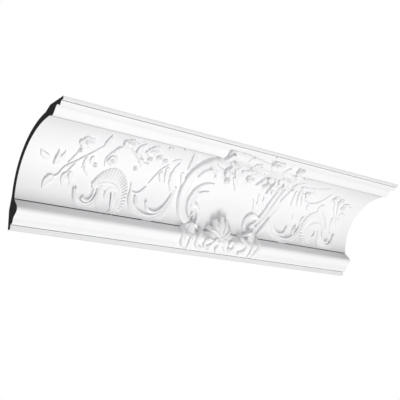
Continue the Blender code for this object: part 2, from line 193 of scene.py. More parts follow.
class Cut(Enum):
    """Cross-sections of carved work."""

    ROUND = "round"
    GUTTER = "gutter"
    CHANNEL = "channel"
    FLAT = "flat"

    def share(self, v: np.ndarray) -> np.ndarray:
        """Height across the work as a share of its full height.

        Round is a half circle, gutter two raised edges with a hollow between, channel three cords
        side by side, and flat a plate with round edges.

        Args:
            v: Places across the half width, from -1 to 1.

        Returns:
            Shares of the height, 1 at the crest.
        """
        side = np.abs(v)
        edge = np.sqrt(np.clip(1 - side**2, 0, 1))
        if self is Cut.ROUND:
            return edge
        plate = np.clip(1 - side**6, 0, 1) ** 0.5
        if self is Cut.GUTTER:
            return plate * (0.62 + 0.38 * np.sin(np.clip(side / 0.72, 0, 1) * math.pi / 2) ** 2)
        if self is Cut.CHANNEL:
            return plate * (0.66 + 0.34 * np.abs(np.cos(1.5 * math.pi * v)))
        return plate


def bowed(start: Point, end: Point, bow: float, steps: int) -> np.ndarray:
    """A path from start to end on a parabola that stands off the chord by bow.

    Args:
        start: First sheet point.
        end: Last sheet point.
        bow: Height of the parabola in mm, to the left of the run on the sheet.
        steps: Number of spans.

    Returns:
        Points of the path, one row each.
    """
    t = np.linspace(0, 1, steps + 1)[:, None]
    first, run = np.array(start, float), np.subtract(end, start).astype(float)
    side = np.array([-run[1], run[0]]) / np.linalg.norm(run)
    return first + run * t + side * bow * 4 * t * (1 - t)


def reach_along(points: np.ndarray) -> np.ndarray:
    """Distance from the first of a row of points to each of them, along the chords."""
    return np.concatenate([[0], np.cumsum(np.linalg.norm(np.diff(points, axis=0), axis=1))])


def crowded(count: int) -> np.ndarray:
    """Places from -1 to 1 that crowd towards both ends."""
    return np.sin(np.linspace(-math.pi / 2, math.pi / 2, count))


def swept(path: np.ndarray, width: np.ndarray, v: np.ndarray) -> tuple[np.ndarray, np.ndarray]:
    """Places across a path, square to it.

    Args:
        path: Sheet points, one row each.
        width: Half width at each point, as a column.
        v: Places across the half width, from -1 to 1.

    Returns:
        Sheet X and S, as place along and place across.
    """
    steps = np.gradient(path, axis=0)
    steps /= np.linalg.norm(steps, axis=1, keepdims=True)
    return path[:, :1] - steps[:, 1:] * width * v, path[:, 1:] + steps[:, :1] * width * v


def through(points: tuple[Point, ...], steps: int) -> np.ndarray:
    """A smooth path through points: a cubic Hermite curve over the chord lengths.

    Args:
        points: Sheet points that it passes through.
        steps: Number of spans.

    Returns:
        Points of the path at even lengths of chord.
    """
    knots = np.array(points, float)
    reach = reach_along(knots)
    slopes = np.gradient(knots, reach, axis=0)
    t = np.linspace(0, reach[-1], steps + 1)
    k = np.clip(np.searchsorted(reach, t, side="right") - 1, 0, len(reach) - 2)
    span = (reach[k + 1] - reach[k])[:, None]
    u = (t - reach[k])[:, None] / span
    return (
        knots[k] * (2 * u**3 - 3 * u**2 + 1)
        + slopes[k] * span * (u**3 - 2 * u**2 + u)
        + knots[k + 1] * (3 * u**2 - 2 * u**3)
        + slopes[k + 1] * span * (u**3 - u**2)
    )


def along(values: Values, count: int) -> np.ndarray:
    """Spreads a few values evenly over count places, joined smoothly.

    Args:
        values: Values at even places.
        count: Number of places.

    Returns:
        One value for each place.
    """
    t = np.linspace(0, len(values) - 1, count)
    k = np.minimum(t.astype(int), len(values) - 2)
    u = t - k
    ease = u * u * (3 - 2 * u)
    given = np.array(values, float)
    return given[k] * (1 - ease) + given[k + 1] * ease


@dataclass
class Section:
    """The moulding's outline in metres, as depth from the front lip and drop from the top.

    An arris takes at most edge_share of the shorter edge beside it. Where the depth falls by more
    than slot_return of a slot's depth in one span, and the drop grows by less than a groove's
    width, the face comes back out of a slot.
    """

    projection: float
    height: float
    wall_pad: float = 0.038
    ceiling_pad: float = 0.050
    lip_face: float = 0.006
    lip_soffit: float = 0.006
    bead: Point = (0.0065, 0.0077)
    bead_return: Point = (0.0079, -0.0057)
    cyma: Point = (0.0196, 0.0155)
    quirk: Point = (0.0075, -0.0030)
    cove_radius: float = 0.128
    cove_wall: float = 0.013
    cove_foot: Point = (0.0212, 0.0553)
    back_angles: Point = (83.0, 6.0)
    fillet: Point = (0.010, 0.009)
    step_depth: float = 0.006
    ogee: Point = (0.008, 0.0124)
    torus_radius: float = 0.0093
    torus_set: Point = (0.0023, 0.013)
    torus_undercut: float = 64.0
    groove_depth: float = 0.006
    groove_width: float = 0.0024
    neck_width: float = 0.0010
    slot_depth: float = 0.003
    slot_width: float = 0.0007
    slot_return: float = 0.8
    arris: float = 0.0008
    edge_share: float = 0.4
    sharp_turn: float = math.radians(16)
    bead_spans: int = 8
    cyma_spans: int = 14
    cove_spans: int = 44
    nose_spans: int = 18
    ogee_spans: int = 10
    back_spans: int = 26
    arris_points: int = 5

    @staticmethod
    def s_curve(start: np.ndarray, run: Point, steps: int) -> np.ndarray:
        """An ogee from start: even in depth, and 3u2 - 2u3 in drop.

        Args:
            start: Point that it leaves from, which isn't repeated.
            run: Depth and drop that it covers.
            steps: Number of spans.

        Returns:
            Its points.
        """
        u = np.arange(1, steps + 1)[:, None] / steps
        return start + np.hstack([run[0] * u, run[1] * u * u * (3 - 2 * u)])

    @staticmethod
    def arc(centre: np.ndarray, radius: float, first: float, last: float, steps: int) -> np.ndarray:
        """A circular arc, at angles from straight up that turn towards the back plane.

        Args:
            centre: Its centre.
            radius: Its radius.
            first: First angle in radians.
            last: Last angle in radians.
            steps: Number of spans.

        Returns:
            Its points.
        """
        angle = np.linspace(first, last, steps + 1)[:, None]
        return centre + radius * np.hstack([np.sin(angle), -np.cos(angle)])

    def slot(self) -> np.ndarray:
        """A narrow slot that opens to the room, from its upper edge: edge, bottom and lower edge."""
        return np.array([(0, 0), (self.slot_depth, self.slot_width / 2), (0, self.slot_width)])

    def crown(self) -> np.ndarray:
        """The crown mouldings, from the top lip to the head of the cove.

        Returns:
            Points of the outline.
        """
        lip = np.array([(0, 0), (0, self.lip_face), (self.lip_soffit, self.lip_face)])
        bead = self.s_curve(lip[-1], self.bead, self.bead_spans)
        lip_slot = lip[-1] + self.slot()
        bead_foot = bead[-1] + self.bead_return
        cyma = self.s_curve(bead_foot, self.cyma, self.cyma_spans)
        return np.vstack([lip[:-1], lip_slot, bead[bead[:, 1] > lip_slot[-1, 1]], bead_foot + self.slot(),
                          cyma[1:], cyma[-1] + self.quirk])

    def base(self) -> tuple[np.ndarray, np.ndarray]:
        """The base mouldings, from below the torus to the back plane.

        Returns:
            Points of the outline, and the torus's centre.
        """
        top = np.array([self.projection - self.fillet[0], self.height - self.fillet[1]])
        step = top - (self.step_depth, 0)
        curve = self.s_curve(step, (-self.ogee[0], -self.ogee[1]), self.ogee_spans)
        foot = np.array([(top[0], self.height), (self.projection, self.height)])
        return np.vstack([curve[::-1], step, top + self.slot(), foot]), curve[-1] - self.torus_set

    def cove_centre(self, head: np.ndarray, foot: np.ndarray) -> np.ndarray:
        """Centre of the cove's arc, on its open side.

        Args:
            head: Upper end of the arc.
            foot: Lower end of the arc.

        Returns:
            The point at the cove's radius from both.
        """
        chord = foot - head
        half = np.linalg.norm(chord) / 2
        back = math.sqrt(self.cove_radius**2 - half**2) / (2 * half)
        return (head + foot) / 2 + np.array([-chord[1], chord[0]]) * back

    def outlines(self) -> tuple[np.ndarray, np.ndarray, np.ndarray]:
        """The face from the top lip to the back plane, and the hidden side from there back up.

        Returns:
            Points of the face, points of the hidden side, and the numbers of the points of the
            face that a groove runs from.
        """
        crown = self.crown()
        base, knob = self.base()
        foot = np.subtract((self.projection, self.height), self.cove_foot)
        centre = self.cove_centre(crown[-1], foot)

        def angle_to(middle: np.ndarray, point: np.ndarray) -> float:
            """Angle of point about middle, from straight up, towards the back plane."""
            return math.atan2(point[0] - middle[0], middle[1] - point[1])

        cove = self.arc(centre, self.cove_radius, angle_to(centre, crown[-1]), angle_to(centre, foot),
                        self.cove_spans)
        touch = angle_to(knob, foot) - math.acos(self.torus_radius / np.linalg.norm(foot - knob))
        nose = self.arc(knob, self.torus_radius, touch, -math.pi / 2 - math.radians(self.torus_undercut),
                        self.nose_spans)
        back = self.arc(centre, self.cove_radius + self.cove_wall, *np.radians(self.back_angles),
                        self.back_spans)
        hidden = np.vstack([(self.projection, self.height - self.wall_pad), back, (self.ceiling_pad, 0.0)])
        run = (cove[1] - cove[0]) / np.linalg.norm(cove[1] - cove[0]) * self.groove_width
        quirk = cove[0] + [run * 0, run / 2 - (0, self.groove_depth), run]
        neck = cove[-1] + [(self.groove_depth, self.neck_width / 2), (0, self.neck_width)]
        below = nose[:, 1] > neck[-1, 1]
        face = np.vstack([crown[:-1], quirk, cove[1:], neck, nose[below], base])
        inward = np.flatnonzero(np.diff(face[:, 0]) < -self.slot_return * self.slot_depth)
        head, heel = len(crown) - 1, len(crown) + len(cove)
        slots = inward[np.diff(face[:, 1])[inward] < self.groove_width]
        return face, hidden, np.unique([head, head + 1, heel, heel + 1, *slots, *(slots - 1)])

    def softened(self, loop: np.ndarray) -> tuple[np.ndarray, np.ndarray]:
        """Rounds the sharp corners of a closed outline: a quadratic curve from edge to edge.

        Args:
            loop: Corners of the closed outline.

        Returns:
            The new points, and for each the number of the corner that it comes from.
        """
        ahead, behind = np.roll(loop, -1, 0) - loop, np.roll(loop, 1, 0) - loop
        far, near = np.linalg.norm(ahead, axis=1), np.linalg.norm(behind, axis=1)
        turn = math.pi - np.arccos(np.clip((ahead * behind).sum(1) / (far * near), -1, 1))
        sharp = turn > self.sharp_turn
        trim = np.minimum(self.arris * np.tan(turn / 2), self.edge_share * np.minimum(far, near)) * sharp
        start = loop + behind * (trim / near)[:, None]
        end = loop + ahead * (trim / far)[:, None]
        count = self.arris_points
        t = np.linspace(0, 1, count)[None, :, None]
        curve = (1 - t) ** 2 * start[:, None] + 2 * t * (1 - t) * loop[:, None] + t**2 * end[:, None]
        kept = sharp[:, None] | (np.arange(count) == 0)
        source = np.repeat(np.arange(len(loop)), count).reshape(-1, count)
        return curve[kept], source[kept]


class Sheet:
    """The flat sheet that the carving is drawn on, and how it wraps round the face."""

    girth_mm = 345.5
    length_mm = 900.0
    stations = 1400
    bridge_reach = 0.014
    bridge_samples = 29
    bury = 0.003

    def __init__(self, section: Section, length: float) -> None:
        """Measures the face, and smooths it by a running mean for the carving to ride on.

        Args:
            section: The moulding's outline.
            length: The moulding's length in metres.
        """
        self.length = length
        self.section = section
        face = section.outlines()[0]
        round_face = reach_along(face)
        self.girth = np.linspace(0, round_face[-1], self.stations)
        self.face = self.between(self.girth, round_face, face)
        reach = np.linspace(-self.bridge_reach, self.bridge_reach, self.bridge_samples)
        spread = np.clip(self.girth[:, None] + reach, 0, round_face[-1])
        self.bridged = self.between(spread, round_face, face).mean(axis=1)
        run = np.gradient(self.bridged, axis=0)
        run /= np.linalg.norm(run, axis=1, keepdims=True)
        self.outward = np.stack([-run[:, 1], run[:, 0]], axis=1)

    @staticmethod
    def between(place: np.ndarray, places: np.ndarray, points: np.ndarray) -> np.ndarray:
        """Reads points at places along a line by straight interpolation."""
        return np.stack([np.interp(place, places, points[:, k]) for k in (0, 1)], axis=-1)

    def world(self, x: np.ndarray, depth_drop: np.ndarray) -> np.ndarray:
        """Places sheet X and points of the section in the row frame.

        Args:
            x: Sheet X in mm.
            depth_drop: Depth from the front lip and drop from the top, in metres.

        Returns:
            Positions in the row frame.
        """
        projection, top = self.section.projection, self.section.height - self.section.wall_pad / 2
        run = (x / self.length_mm - 0.5) * self.length
        return np.stack([run, depth_drop[..., 0] - projection, top - depth_drop[..., 1]], axis=-1)

    def on_face(self, s: np.ndarray, line: np.ndarray) -> tuple[np.ndarray, np.ndarray]:
        """Reads a line of the section, and its outward direction, at sheet S.

        Args:
            s: Sheet S in mm.
            line: The line, at the stations round the girth.

        Returns:
            Points of the line, and the directions there.
        """
        place = s / self.girth_mm * self.girth[-1]
        return self.between(place, self.girth, line), self.between(place, self.girth, self.outward)

    def raised(self, x: np.ndarray, s: np.ndarray, lift: np.ndarray, front: np.ndarray) -> np.ndarray:
        """Sheet points raised by lift off the smoothed face, or off a ground that stands before it.

        Args:
            x: Sheet X in mm.
            s: Sheet S in mm.
            lift: Height in mm.
            front: Distance of that ground from the back plane in mm, 0 for none.

        Returns:
            Positions in the row frame.
        """
        base, out = self.on_face(s, self.bridged)
        ground = self.section.projection - front * MM
        ahead = (front > 0) & (ground < base[..., 0])
        base[..., 0] = np.where(ahead, ground, base[..., 0])
        out = np.where(ahead[..., None], (-1.0, 0.0), out)
        return self.world(x, base + out * lift[..., None] * MM)

    def buried(self, x: np.ndarray, s: np.ndarray) -> np.ndarray:
        """Sheet points sunk just under the true face, in the row frame."""
        base, out = self.on_face(s, self.face)
        return self.world(x, base - out * self.bury)


def enclosed(rings: np.ndarray, ends: np.ndarray) -> float:
    """Six times the signed volume inside rings: the sum of a . (b x c) over the triangles.

    Args:
        rings: Positions, as ring, place round the ring, and axis.
        ends: Middles of the fans over the first and the last ring.

    Returns:
        The sum, above 0 where the faces point outwards.
    """
    ahead = np.roll(rings, -1, axis=1)
    triangles = (
        (rings[:-1], ahead[:-1], ahead[1:]),
        (rings[:-1], ahead[1:], rings[1:]),
        (np.broadcast_to(ends[0], rings[0].shape), ahead[0], rings[0]),
        (np.broadcast_to(ends[1], rings[-1].shape), rings[-1], ahead[-1]),
    )
    return sum(float(np.sum(a * np.cross(b, c))) for a, b, c in triangles)


class Mesh:
    """Points and faces that grow loft by loft into one mesh."""

    def __init__(self) -> None:
        """Starts empty."""
        self.points: list[np.ndarray] = []
        self.quads: list[np.ndarray] = []
        self.triangles: list[np.ndarray] = []
        self.count = 0

    def loft(self, rings: np.ndarray, cap: np.ndarray | None = None) -> None:
        """Adds a closed skin over a row of closed rings, with a fan or a given cap over each end.

        The faces are turned outwards by the sign of the enclosed volume.

        Args:
            rings: Positions, as ring, place round the ring, and axis.
            cap: Triangles over an end as places round the ring, facing along the row, for a
                ring that a fan from its middle can't fill. Such rings already face outwards.
        """
        ends = rings[[0, -1]].mean(axis=1)
        if cap is None and enclosed(rings, ends) < 0:
            rings = rings[:, ::-1]
        rows, columns = rings.shape[:2]
        number = np.arange(rows * columns).reshape(rows, columns) + self.count
        after = np.roll(number, -1, axis=1)
        self.quads.append(np.stack([number[:-1], after[:-1], after[1:], number[1:]], axis=-1).reshape(-1, 4))
        self.points.append(rings.reshape(-1, 3))
        self.count += rows * columns
        if cap is not None:
            self.triangles += [number[0][cap[:, ::-1]], number[-1][cap]]
            return
        middle = np.full(columns, self.count)
        self.triangles.append(np.stack([middle, after[0], number[0]], axis=-1))
        self.triangles.append(np.stack([middle + 1, number[-1], after[-1]], axis=-1))
        self.points.append(ends)
        self.count += len(ends)

    def make(self, name: str, materials: list[bpy.types.Material], sharp: float) -> bpy.types.Object:
        """Puts the gathered points and faces into one object.

        Args:
            name: The object's name.
            materials: Its materials, the first on every face.
            sharp: Edges that turn by more than this angle, in degrees, stay crisp.

        Returns:
            The new object, at the origin.
        """
        points = np.concatenate(self.points)
        quads, triangles = np.concatenate(self.quads), np.concatenate(self.triangles)
        mesh = bpy.data.meshes.new(name)
        mesh.vertices.add(len(points))
        mesh.vertices.foreach_set("co", points.astype(np.float32).ravel())
        corners = np.concatenate([quads.ravel(), triangles.ravel()]).astype(np.int32)
        mesh.loops.add(len(corners))
        mesh.loops.foreach_set("vertex_index", corners)
        starts = np.concatenate([np.arange(len(quads)) * 4, quads.size + np.arange(len(triangles)) * 3])
        mesh.polygons.add(len(starts))
        mesh.polygons.foreach_set("loop_start", starts.astype(np.int32))
        mesh.update(calc_edges=True)
        mesh.validate()
        mesh.shade_smooth()
        mesh.set_sharp_from_angle(angle=math.radians(sharp))
        for material in materials:
            mesh.materials.append(material)
        return placed(name, mesh)


@dataclass(frozen=True)
class Leaf:
    """A pointed leaf on the sheet, in mm: root, tip, sideways bow, half width, height and lobes."""

    root: Point
    tip: Point
    bow: float
    width: float
    lift: float = 3.6
    lobes: int = 3
    cut: Cut = Cut.GUTTER


@dataclass(frozen=True)
class Bloom:
    """An open flower on the sheet, in mm: centre, radius, petals, height and turn in radians.

    The higher rim is, the less the tips of the petals curl down.
    """

    centre: Point
    radius: float
    petals: int = 5
    lift: float = 4.6
    turn: float = 0.0
    rim: float = 0.1


@dataclass(frozen=True)
class Stroke:
    """A carved stroke along a path, with half widths and heights in mm at even places."""

    path: np.ndarray
    widths: Values
    lifts: Values
    cut: Cut = Cut.ROUND


@dataclass(frozen=True)
class Frill:
    """A ribbed collar between an inner and an outer edge on the sheet, as points of each edge.

    The rim is the share of its height that is left at the outer edge.
    """

    inner: tuple[Point, ...]
    outer: tuple[Point, ...]
    ribs: int
    lift: float
    rim: float = 0.2


@dataclass(frozen=True)
class Ground:
    """A ground above the torus's nose: middle X, lean and its fall aside, nose S and distance there."""

    middle: float
    lean: float
    fall: float
    nose: float = 296.0
    front: float = 34.0

    def distance(self, x: np.ndarray, s: np.ndarray) -> np.ndarray:
        """Its distance from the back plane. It leans out upwards, less by the square of the way aside.

        Args:
            x: Sheet X in mm.
            s: Sheet S in mm.

        Returns:
            The distance in mm, 0 below the nose.
        """
        above = np.clip(self.nose - s, 0, None)
        lean = self.lean - self.fall * (x - self.middle) ** 2
        return (above > 0) * (self.front + above * lean)


class Relief:
    """Carving in the making: collars, strokes, leaves, flowers and knobs on the sheet.

    The lobes, veins and midrib of a leaf, and the width, heart and tilt of a petal, are shares of
    its own width, height or length. A half width never falls below thinnest, in mm.
    """

    across = 13
    leaf_rows, rows_per_lobe, thinnest = 8, 6, 0.3
    vein_depth, midrib_lift, midrib_width = 0.2, 0.12, 0.16
    petal_rows, petal_across = 10, 9
    petal_width, petal_tilt = 0.68, 0.16
    boss_share, boss_rings, boss_round = 0.18, 5, 14
    frill_rows, columns_per_rib, rib_depth = 9, 6, 0.55
    knob_rings, knob_round = 6, 16

    def __init__(self, sheet: Sheet, lean: float, ground: Ground | None,
                 mirror_about: float | None) -> None:
        """Starts an empty relief.

        Args:
            sheet: The sheet that it is drawn on.
            lean: How far raised points lean towards the top lip, as a share of their height.
            ground: The ground that it stands on above the torus, or None for the moulding itself.
            mirror_about: Sheet X that everything is mirrored about, or None.
        """
        self.lean = lean
        self.ground = ground
        self.sheet = sheet
        self.mirror_about = mirror_about
        self.mesh = Mesh()

    def over(self, x: np.ndarray, s: np.ndarray, lift: np.ndarray) -> tuple[np.ndarray, np.ndarray]:
        """Raises sheet points, mirrored where the group is.

        Args:
            x: Sheet X.
            s: Sheet S.
            lift: Height in mm.

        Returns:
            Their positions, and the mirrored X.
        """
        front = self.ground.distance(x, s) if self.ground else np.zeros_like(s)
        if self.mirror_about is not None:
            x = 2 * self.mirror_about - x
        return self.sheet.raised(x, s - self.lean * lift, lift, front), x

    def band(self, x: np.ndarray, s: np.ndarray, lift: np.ndarray) -> None:
        """Adds a closed band: the raised grid on top, and the same grid buried below.

        Raised points lean towards the top lip, which makes upper edges steep and lower ones gentle.

        Args:
            x: Sheet X, as place along and place across.
            s: Sheet S.
            lift: Height in mm.
        """
        over, x = self.over(x, s, lift)
        under = self.sheet.buried(x, s)[:, ::-2]
        self.mesh.loft(np.concatenate([over, under], axis=1))

    def disc(self, centre: Point, radii: np.ndarray, lifts: np.ndarray, places: int) -> None:
        """Adds a closed disc: rings of raised points round a middle, and the last ring buried.

        Args:
            centre: Sheet point in its middle.
            radii: Radius of each ring from the middle, as a column.
            lifts: Height of each ring in mm, as a column.
            places: Number of points in a ring.
        """
        angle = np.linspace(0, 2 * math.pi, places, endpoint=False)
        s = centre[1] + radii * np.sin(angle)
        over, x = self.over(centre[0] + radii * np.cos(angle), s, lifts + 0 * angle)
        self.mesh.loft(np.concatenate([over, self.sheet.buried(x[-1:], s[-1:])]))

    def stroke(self, work: Stroke) -> None:
        """Carves a stroke: its cross-section carried along the path, square to it.

        Args:
            work: The stroke.
        """
        v = crowded(self.across)
        width = along(work.widths, len(work.path))[:, None]
        lift = along(work.lifts, len(work.path))[:, None]
        self.band(*swept(work.path, width, v), lift * work.cut.share(v))

    def leaf(self, work: Leaf) -> None:
        """Carves a leaf with a midrib, side veins and a lobed edge.

        Half width is a sine belly times lobes; height is the cross-section times a ripple whose
        crests lean towards the tip, so that they read as side veins.

        Args:
            work: The leaf.
        """
        rows = self.leaf_rows + self.rows_per_lobe * max(work.lobes, 1)
        path = bowed(work.root, work.tip, work.bow, rows)
        u = np.linspace(0, 1, rows + 1)[:, None]
        belly = np.sin((0.10 + 0.885 * u) ** 0.8 * math.pi)
        lobe = np.abs(np.sin(math.pi * (work.lobes * u + 0.15)))
        width = np.maximum(work.width * belly * (0.86 + 0.2 * lobe), self.thinnest)
        v = crowded(self.across)
        ripple = 0.5 + 0.5 * np.cos(2 * math.pi * (work.lobes * u - 0.45 * np.abs(v)) + 0.9)
        rib = np.exp(-((v / self.midrib_width) ** 2))
        lift = work.lift * (0.5 + 0.5 * belly) * work.cut.share(v)
        lift = lift * (1 - self.vein_depth * ripple * np.abs(v) * (work.lobes > 1))
        self.band(*swept(path, width, v), lift + self.midrib_lift * work.lift * rib * belly)

    def bloom(self, work: Bloom) -> None:
        """Carves a flower: cupped petals that overlap like tiles, and a domed boss in the middle.

        A petal's half width is a sine of its length; its height rises from the heart, peaks at
        four fifths and curls down at the tip, and its sides stand above its middle.

        Args:
            work: The flower.
        """
        u = np.linspace(0, 1, self.petal_rows)[:, None]
        v = crowded(self.petal_across)
        half = np.maximum(np.sin((0.08 + 0.86 * u**0.85) * math.pi) ** 0.7, 0.12)
        half = half * math.tan(math.pi / work.petals) * self.petal_width * work.radius
        curl = np.clip((u - 0.8) / 0.2, 0, 1) ** 2
        rise = 0.2 + 0.75 * np.sin(u * math.pi * 0.62) - (0.5 - work.rim) * curl
        cup = 0.82 + 0.18 * (v / 0.8) ** 2 - 0.55 * np.clip((np.abs(v) - 0.85) / 0.15, 0, 1)
        lift = work.lift * rise * cup * (1 + self.petal_tilt * v)
        reach, side = work.radius * (0.26 + 0.74 * u) + 0 * v, half * v
        for petal in range(work.petals):
            turn = work.turn + 2 * math.pi * petal / work.petals
            x = work.centre[0] + reach * math.cos(turn) - side * math.sin(turn)
            self.band(x, work.centre[1] + reach * math.sin(turn) + side * math.cos(turn), lift)
        ring = np.linspace(0.15, 1, self.boss_rings)[:, None]
        dome = work.lift * (0.3 + 0.35 * np.sqrt(np.clip(1 - ring**2, 0, 1)))
        self.disc(work.centre, self.boss_share * work.radius * ring, dome, self.boss_round)

    def frill(self, work: Frill) -> None:
        """Carves a collar of half-round ribs that run from the inner edge to a scalloped outer edge.

        Args:
            work: The collar.
        """
        columns = work.ribs * self.columns_per_rib
        inner, outer = through(work.inner, columns), through(work.outer, columns)
        t = np.linspace(0, 1, columns + 1)
        rib = np.abs(np.sin(math.pi * work.ribs * t)) ** 0.6
        u = np.linspace(0, 1, self.frill_rows)[:, None, None]
        spread = inner + (outer - inner) * u * (0.93 + 0.07 * rib[:, None])
        reach = u[..., 0]
        fall = 1 - (1 - work.rim) * np.clip((reach - 0.62) / 0.38, 0, 1) ** 2
        groove = 1 - self.rib_depth * (1 - rib) * np.clip(reach * 4, 0, 1)
        lift = work.lift * (0.8 + 0.2 * np.sin(reach * math.pi)) * fall * groove
        self.band(spread[..., 0], spread[..., 1], lift)

    def knob(self, centre: Point, radius: float, lift: float) -> None:
        """Carves a small dome, such as a bud or the eye of a volute.

        Args:
            centre: Sheet point in its middle.
            radius: Radius in mm.
            lift: Height in mm.
        """
        ring = np.sin(np.linspace(0.1, math.pi / 2, self.knob_rings))[:, None]
        dome = lift * np.sqrt(np.clip(1 - ring**2, 0, 1))
        self.disc(centre, radius * ring, dome, self.knob_round)


def carved(points: tuple[Point, ...], spans: int, widths: Values, lifts: Values,
           cut: Cut = Cut.ROUND) -> Stroke:
    """A stroke along a smooth path.

    Args:
        points: Sheet points that it passes through.
        spans: Number of spans.
        widths: Half widths in mm at even places.
        lifts: Heights in mm at even places.
        cut: Its cross-section.

    Returns:
        The stroke.
    """
    return Stroke(through(points, spans), widths, lifts, cut)


def stems(*routes: tuple[Point, ...]) -> tuple[Stroke, ...]:
    """Thin round stems, a little stouter half way.

    Args:
        *routes: Sheet points that each stem passes through.

    Returns:
        One stroke for each route, with ten spans to a point.
    """
    return tuple(carved(route, 10 * len(route), (1.5, 2.0, 1.5), (3.0, 3.8, 3.0)) for route in routes)


def shell(root: Point, lobes: tuple[Point, ...], swell: Values,
          ruffles: tuple[Point, ...]) -> tuple[Stroke, ...]:
    """Lobes and small ruffles that spread from one root.

    Args:
        root: Sheet point that all start from.
        lobes: Tips of the lobes.
        swell: Heights of the lobes in mm, at even places from the first to the last.
        ruffles: Tips of the ruffles.

    Returns:
        The strokes, lobes first.
    """
    heights = along(swell, len(lobes))
    return (
        *(Stroke(bowed(root, tip, 0, 18), (4, 8, 9, 5), (3, 0.8 * height, height, 0.6 * height))
          for tip, height in zip(lobes, heights)),
        *(Stroke(bowed(root, tip, 2, 14), (3, 4, 2), (4, 6.5, 6)) for tip in ruffles),
    )


@dataclass
class Carving:
    """One group of carving on the casting. Each kind lists its own collars, strokes and so on."""

    name: str
    sheet: Sheet
    finish: bpy.types.Material
    mirror_about: float | None = None
    lean: float = 0.4
    ground: Ground | None = None
    leaves: tuple[Leaf, ...] = ()
    blooms: tuple[Bloom, ...] = ()
    frills: tuple[Frill, ...] = ()
    knobs: tuple[Knob, ...] = ()
    strokes: tuple[Stroke, ...] = ()
    crease: float = 50.0

    def build(self) -> bpy.types.Object:
        """Builds the group's mesh, dresses it and lets it ride on the casting.

        Returns:
            The finished piece.
        """
        relief = Relief(self.sheet, self.lean, self.ground, self.mirror_about)
        for work in self.frills:
            relief.frill(work)
        for work in self.strokes:
            relief.stroke(work)
        for work in self.leaves:
            relief.leaf(work)
        for work in self.blooms:
            relief.bloom(work)
        for centre, radius, lift in self.knobs:
            relief.knob(centre, radius, lift)
        piece = relief.mesh.make(self.name, [self.finish], self.crease)
        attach(piece, BODY)
        return piece


@dataclass
class Scrollwork(Carving):
    """The ribbed scroll, its hook and the crescent, which stand on both sides of the cartouche."""

    frills: tuple[Frill, ...] = (
        Frill(((152, 212), (172, 200), (194, 198), (212, 206), (219, 224), (217, 242), (200, 254)),
              ((149, 206), (163, 184), (190, 170), (218, 182), (233, 208), (229, 240), (204, 262)), 26, 5.0),
    )
    leaves: tuple[Leaf, ...] = (
        Leaf((172, 200), (173, 257), 3, 6.5, 5.5, 1, Cut.ROUND),
        Leaf((252, 214), (258, 246), -3, 4.5, 5.5, 1, Cut.ROUND),
        Leaf((341, 196), (318, 126), -7, 8, 5.5, 4),
        Leaf((241, 208), (234, 190), 2, 3, 3.4, 1),
        Leaf((262, 206), (272, 192), 2, 3, 3.4, 1),
    )
    knobs: tuple[Knob, ...] = (((137, 236), 5, 5.0),)
    # Tube and core of the ribbed scroll, the hook on its left with its inner stem, and the crescent
    # with its inner stem.
    strokes: tuple[Stroke, ...] = (
        carved(((152, 214), (170, 204), (192, 202), (208, 210), (214, 226), (211, 243), (196, 253)), 56,
               (2, 5, 5.5, 5, 2), (4, 5.5, 6, 5.5, 3.5)),
        carved(((206, 213), (195, 208), (186, 214), (185, 226), (190, 233)), 36,
               (3, 3.4, 3, 2.4), (5.5, 5, 4.5, 4)),
        carved(((170, 206), (168, 228), (156, 245), (138, 250), (122, 240), (117, 222)), 44,
               (4, 6.5, 7, 6.5, 5), (4, 5.5, 5.5, 5.5, 6), Cut.CHANNEL),
        carved(((158, 214), (155, 232), (146, 240), (137, 238)), 22, (1.5, 3, 3.6), (3, 4.5, 5)),
        carved(((239, 198), (241, 222), (257, 243), (286, 253), (316, 245), (335, 220), (343, 184)), 60,
               (2, 7, 8.5, 8, 4), (3, 5.5, 6, 5.5, 4.5), Cut.CHANNEL),
        carved(((334, 208), (323, 228), (305, 239), (288, 236), (281, 222)), 34,
               (1.5, 3.0, 3.4, 3.2), (4, 5, 5, 5.5)),
    )


